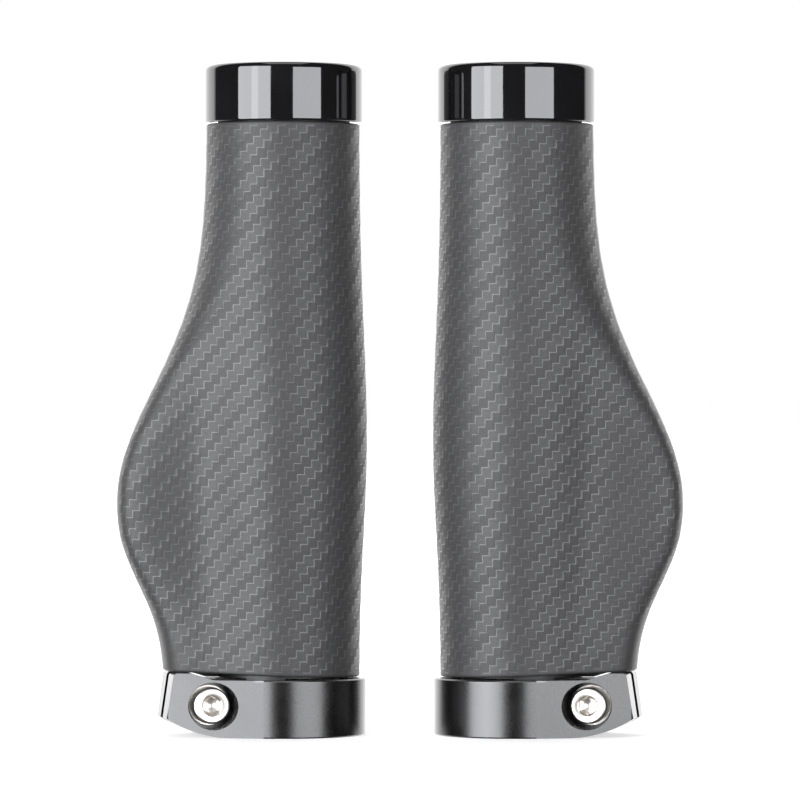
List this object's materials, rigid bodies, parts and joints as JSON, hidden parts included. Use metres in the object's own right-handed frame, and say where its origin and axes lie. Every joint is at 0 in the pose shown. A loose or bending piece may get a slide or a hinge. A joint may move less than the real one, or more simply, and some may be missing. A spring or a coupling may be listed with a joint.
{
  "type": "bar end grips",
  "caption": "Ergonomic bicycle handlebar grips with palm wings, twill-relief rubber on hard cores, slotted clamp collars with socket bolts, and closed gloss end caps.",
  "frame": {"origin": "midway between the two grips' bar axes, on the plane of the clamps' lower faces", "axes": "+Z along the bar axes from clamp to end cap, +X from the left grip to the right grip, -Y towards the side with the bolt heads"},
  "size_m": [0.1098, 0.0325, 0.13],
  "materials": {
    "grip_rubber": "matte, moulded twill relief",
    "core_plastic": "matt black moulded nylon",
    "clamp_aluminium": "satin dark grey anodised",
    "stainless_steel": "bright stainless",
    "cap_gloss": "high gloss black"
  },
  "bodies": {
    "left_clamp": {"left_clamp_collar": "clamp_aluminium"},
    "left_washer": {"left_bolt_washer": "stainless_steel"},
    "left_bolt": {"left_clamp_bolt": "stainless_steel"},
    "left_grip": {"left_core_sleeve": "core_plastic", "left_grip_rubber": "grip_rubber"},
    "left_cap": {"left_end_cap": "cap_gloss"},
    "right_clamp": {"right_clamp_collar": "clamp_aluminium"},
    "right_washer": {"right_bolt_washer": "stainless_steel"},
    "right_bolt": {"right_clamp_bolt": "stainless_steel"},
    "right_grip": {"right_core_sleeve": "core_plastic", "right_grip_rubber": "grip_rubber"},
    "right_cap": {"right_end_cap": "cap_gloss"}
  },
  "joints": [
    {"name": "left_bolt_advance", "type": "slide", "parent": "left_clamp", "child": "left_washer", "axis": [0.1822, -0.9833, 0], "range_m": [0, 0.0042]},
    {"name": "left_bolt_spin", "type": "hinge", "parent": "left_washer", "child": "left_bolt", "pos_m": [-0.03691, -0.00784, 0.0061], "axis": [0.1822, -0.9833, 0], "range_deg": [0, 2160]},
    {"name": "left_grip_off", "type": "slide", "parent": "left_clamp", "child": "left_grip", "axis": [0, 0, 1], "range_m": [0, 0.012]},
    {"name": "left_cap_off", "type": "slide", "parent": "left_grip", "child": "left_cap", "axis": [0, 0, 1], "range_m": [0, 0.016]},
    {"name": "right_grip_apart", "type": "slide", "parent": "left_clamp", "child": "right_clamp", "axis": [1, 0, 0], "range_m": [0, 0.06]},
    {"name": "right_bolt_advance", "type": "slide", "parent": "right_clamp", "child": "right_washer", "axis": [-0.1822, -0.9833, 0], "range_m": [0, 0.0042]},
    {"name": "right_bolt_spin", "type": "hinge", "parent": "right_washer", "child": "right_bolt", "pos_m": [0.03691, -0.00784, 0.0061], "axis": [-0.1822, -0.9833, 0], "range_deg": [0, 2160]},
    {"name": "right_grip_off", "type": "slide", "parent": "right_clamp", "child": "right_grip", "axis": [0, 0, 1], "range_m": [0, 0.012]},
    {"name": "right_cap_off", "type": "slide", "parent": "right_grip", "child": "right_cap", "axis": [0, 0, 1], "range_m": [0, 0.016]}
  ],
  "couplings": [
    {"joint": "left_bolt_advance", "follows": "left_bolt_spin", "m_per_rad": 0.00011141},
    {"joint": "right_bolt_advance", "follows": "right_bolt_spin", "m_per_rad": 0.00011141}
  ]
}
